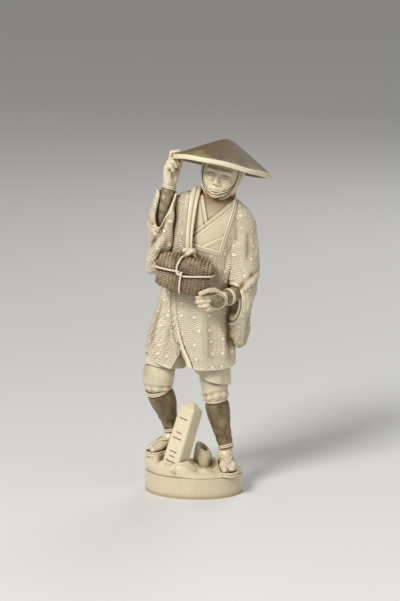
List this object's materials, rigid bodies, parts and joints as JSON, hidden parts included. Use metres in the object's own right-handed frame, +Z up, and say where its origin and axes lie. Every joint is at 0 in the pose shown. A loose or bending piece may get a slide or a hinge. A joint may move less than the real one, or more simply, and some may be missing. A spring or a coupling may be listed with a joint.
{
  "type": "okimono carving",
  "caption": "Standing carved traveller in a coat and a shallow conical hat, one hand at the brim and the other under a tied basket, beside a leaning way post on an oval plinth",
  "frame": {"origin": "centre of the plinth's flat underside", "axes": "+Z up along the figure, -Y the way the figure faces, +X to the figure's left, which is the viewer's right"},
  "size_m": [0.0857, 0.07, 0.2388],
  "materials": {
    "plain_ivory": "satin",
    "flesh_ivory": "satin",
    "cloth_ivory": "satin",
    "cord_ivory": "satin",
    "engraved_ivory": "satin",
    "stained_legging_ivory": "satin",
    "stained_guard_ivory": "satin",
    "stained_hat_ivory": "satin",
    "stained_basket_ivory": "satin"
  },
  "bodies": {
    "root": {"plinth": "plain_ivory", "plinth_dowels": "plain_ivory", "ground": "plain_ivory", "stump": "plain_ivory", "road_marker": "plain_ivory", "sole_pins": "plain_ivory", "right_foot": "plain_ivory", "left_foot": "plain_ivory", "ankle_pins": "plain_ivory", "right_legging": "stained_legging_ivory", "left_legging": "stained_legging_ivory", "knee_pins": "plain_ivory", "right_breeches": "plain_ivory", "left_breeches": "plain_ivory", "hip_pins": "plain_ivory", "under_robe": "cloth_ivory", "coat": "engraved_ivory", "chest": "cloth_ivory", "shoulder_pegs": "plain_ivory", "right_sleeve": "engraved_ivory", "left_sleeve": "engraved_ivory", "elbow_pegs": "plain_ivory", "right_forearm": "stained_guard_ivory", "left_forearm": "stained_guard_ivory", "wrist_pegs": "plain_ivory", "right_hand": "flesh_ivory", "left_hand": "flesh_ivory", "neck_peg": "plain_ivory", "head": "flesh_ivory", "head_cloth": "cloth_ivory", "chin_cord": "cord_ivory", "hat_peg": "plain_ivory", "hat": "stained_hat_ivory", "basket": "stained_basket_ivory", "basket_cord": "cord_ivory", "basket_pegs": "plain_ivory", "sling_knot": "cord_ivory", "sling": "cord_ivory"}
  },
  "joints": []
}
